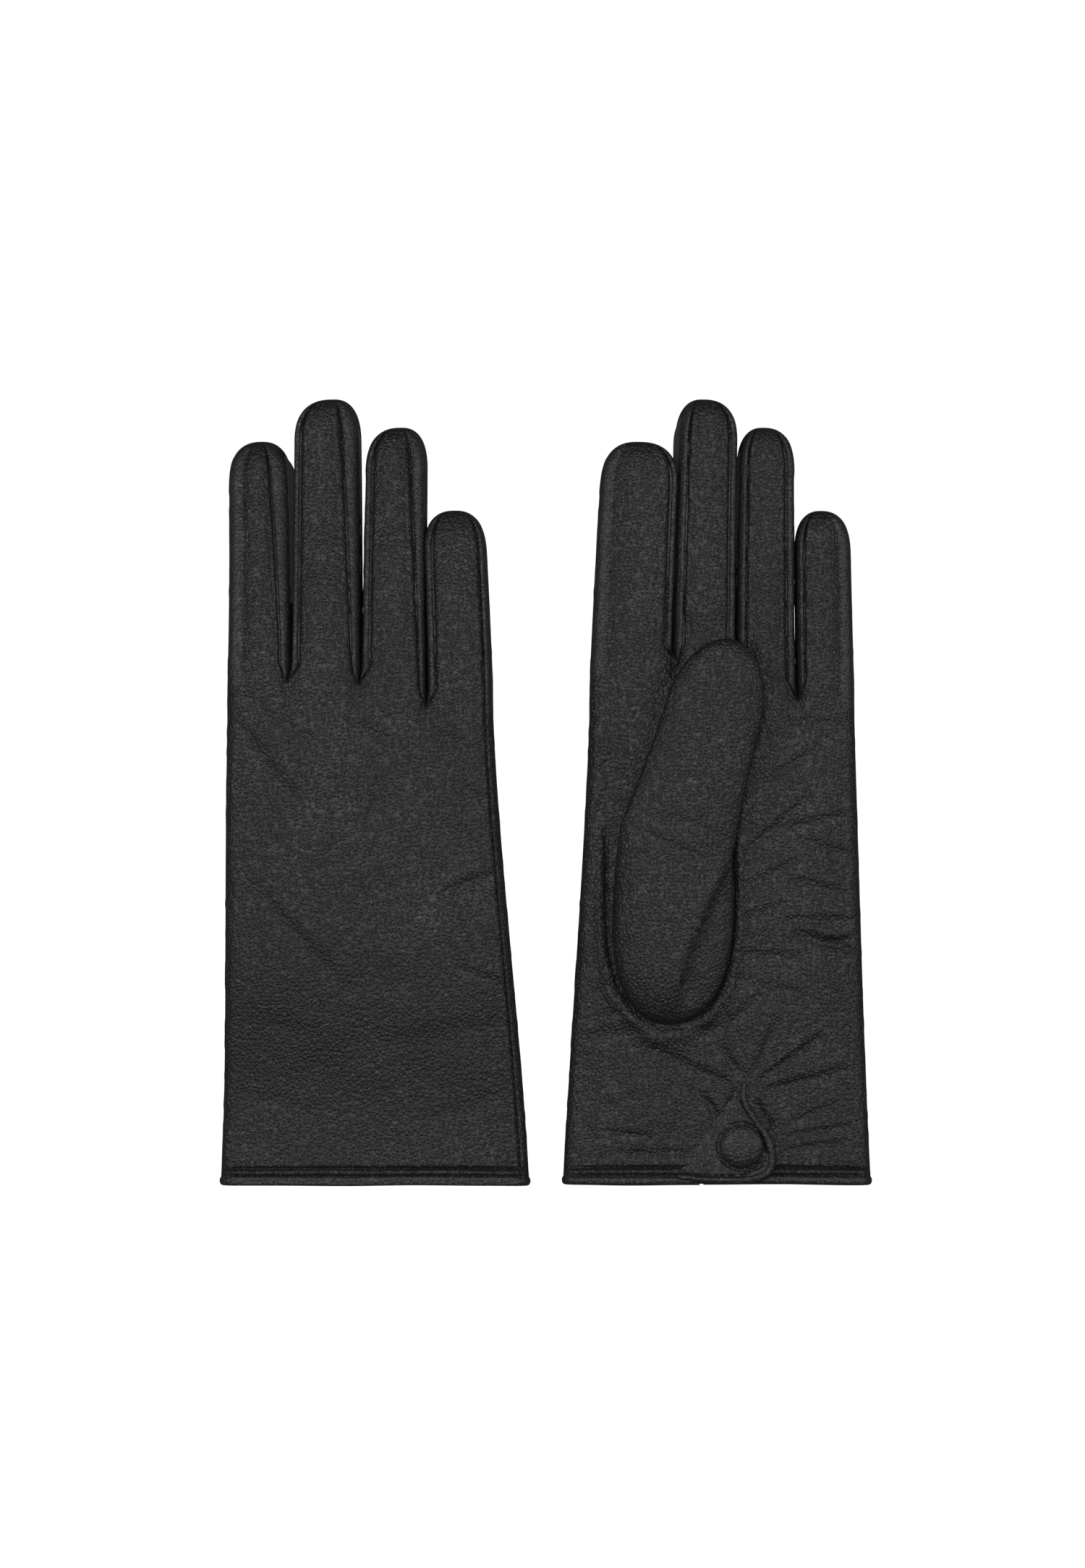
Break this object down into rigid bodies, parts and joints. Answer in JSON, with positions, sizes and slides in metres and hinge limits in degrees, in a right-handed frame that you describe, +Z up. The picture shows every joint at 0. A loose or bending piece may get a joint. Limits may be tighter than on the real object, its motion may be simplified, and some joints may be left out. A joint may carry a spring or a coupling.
{
  "type": "pair of leather dress gloves",
  "caption": "Pair of long lined leather dress gloves laid flat, one palm up and one palm down, with a piped wrist vent, a covered snap button and fourchette fingers.",
  "frame": {"origin": "centre of the pair on the surface that it lies on", "axes": "+X from the right glove to the left glove, +Y from the cuffs to the fingertips, +Z up"},
  "size_m": [0.208, 0.25, 0.02],
  "materials": {
    "nappa": "fine-grained smooth black nappa",
    "lining": "fine charcoal knit",
    "snap_metal": "satin nickel"
  },
  "bodies": {
    "left_hand": {"left_trank": "nappa", "left_lower_fourchettes": "nappa", "left_hand_lining": "lining", "left_thumb_base": "nappa", "left_cuff_binding": "nappa", "left_snap_stud": "snap_metal", "left_stud_washer": "snap_metal"},
    "left_index": {"left_index_panels": "nappa", "left_index_fourchettes": "nappa", "left_index_lining": "lining"},
    "left_middle": {"left_middle_panels": "nappa", "left_middle_fourchettes": "nappa", "left_middle_lining": "lining"},
    "left_ring": {"left_ring_panels": "nappa", "left_ring_fourchettes": "nappa", "left_ring_lining": "lining"},
    "left_little": {"left_little_panels": "nappa", "left_little_fourchettes": "nappa", "left_little_lining": "lining"},
    "left_thumb": {"left_thumb_leather": "nappa", "left_thumb_lining": "lining"},
    "left_flap": {"left_vent_flap": "nappa", "left_vent_piping": "nappa", "left_button_cover": "nappa", "left_snap_socket": "snap_metal"},
    "right_hand": {"right_trank": "nappa", "right_lower_fourchettes": "nappa", "right_hand_lining": "lining", "right_thumb_base": "nappa", "right_cuff_binding": "nappa", "right_snap_stud": "snap_metal", "right_stud_washer": "snap_metal"},
    "right_index": {"right_index_panels": "nappa", "right_index_fourchettes": "nappa", "right_index_lining": "lining"},
    "right_middle": {"right_middle_panels": "nappa", "right_middle_fourchettes": "nappa", "right_middle_lining": "lining"},
    "right_ring": {"right_ring_panels": "nappa", "right_ring_fourchettes": "nappa", "right_ring_lining": "lining"},
    "right_little": {"right_little_panels": "nappa", "right_little_fourchettes": "nappa", "right_little_lining": "lining"},
    "right_thumb": {"right_thumb_leather": "nappa", "right_thumb_lining": "lining"},
    "right_flap": {"right_vent_flap": "nappa", "right_vent_piping": "nappa", "right_button_cover": "nappa", "right_snap_socket": "snap_metal"}
  },
  "joints": [
    {"name": "left_index_bend", "type": "hinge", "parent": "left_hand", "child": "left_index", "pos_m": [0.02628, 0.069, 0.011], "axis": [1, 0, 0], "range_deg": [0, 100]},
    {"name": "left_middle_bend", "type": "hinge", "parent": "left_hand", "child": "left_middle", "pos_m": [0.04798, 0.075, 0.011], "axis": [1, 0, 0], "range_deg": [0, 100]},
    {"name": "left_ring_bend", "type": "hinge", "parent": "left_hand", "child": "left_ring", "pos_m": [0.06808, 0.07, 0.011], "axis": [1, 0, 0], "range_deg": [0, 100]},
    {"name": "left_little_bend", "type": "hinge", "parent": "left_hand", "child": "left_little", "pos_m": [0.08778, 0.055, 0.011], "axis": [1, 0, 0], "range_deg": [0, 100]},
    {"name": "left_thumb_open", "type": "hinge", "parent": "left_hand", "child": "left_thumb", "pos_m": [0.04124, -0.0157, 0.02], "axis": [0.962, -0.2732, 0], "range_deg": [0, 75]},
    {"name": "left_flap_open", "type": "hinge", "parent": "left_hand", "child": "left_flap", "pos_m": [0.05235, -0.10665, 0.0099], "axis": [-0.5731, -0.8195, 0], "range_deg": [0, 70]},
    {"name": "right_index_bend", "type": "hinge", "parent": "right_hand", "child": "right_index", "pos_m": [-0.08872, 0.069, 0.00624], "axis": [-1, 0, 0], "range_deg": [0, 100]},
    {"name": "right_middle_bend", "type": "hinge", "parent": "right_hand", "child": "right_middle", "pos_m": [-0.06702, 0.075, 0.00521], "axis": [-1, 0, 0], "range_deg": [0, 100]},
    {"name": "right_ring_bend", "type": "hinge", "parent": "right_hand", "child": "right_ring", "pos_m": [-0.04692, 0.07, 0.00607], "axis": [-1, 0, 0], "range_deg": [0, 100]},
    {"name": "right_little_bend", "type": "hinge", "parent": "right_hand", "child": "right_little", "pos_m": [-0.02722, 0.055, 0.0082], "axis": [-1, 0, 0], "range_deg": [0, 100]},
    {"name": "right_thumb_open", "type": "hinge", "parent": "right_hand", "child": "right_thumb", "pos_m": [-0.07236, -0.0157, 0], "axis": [-0.963, 0.2697, 0], "range_deg": [0, 75]},
    {"name": "right_flap_open", "type": "hinge", "parent": "right_hand", "child": "right_flap", "pos_m": [-0.05683, -0.10665, 0.0049], "axis": [0.56, 0.8285, 0], "range_deg": [0, 70]},
    {"name": "right_glove_lift", "type": "slide", "parent": "left_hand", "child": "right_hand", "axis": [0, 0, 1], "range_m": [0, 0.08]}
  ]
}
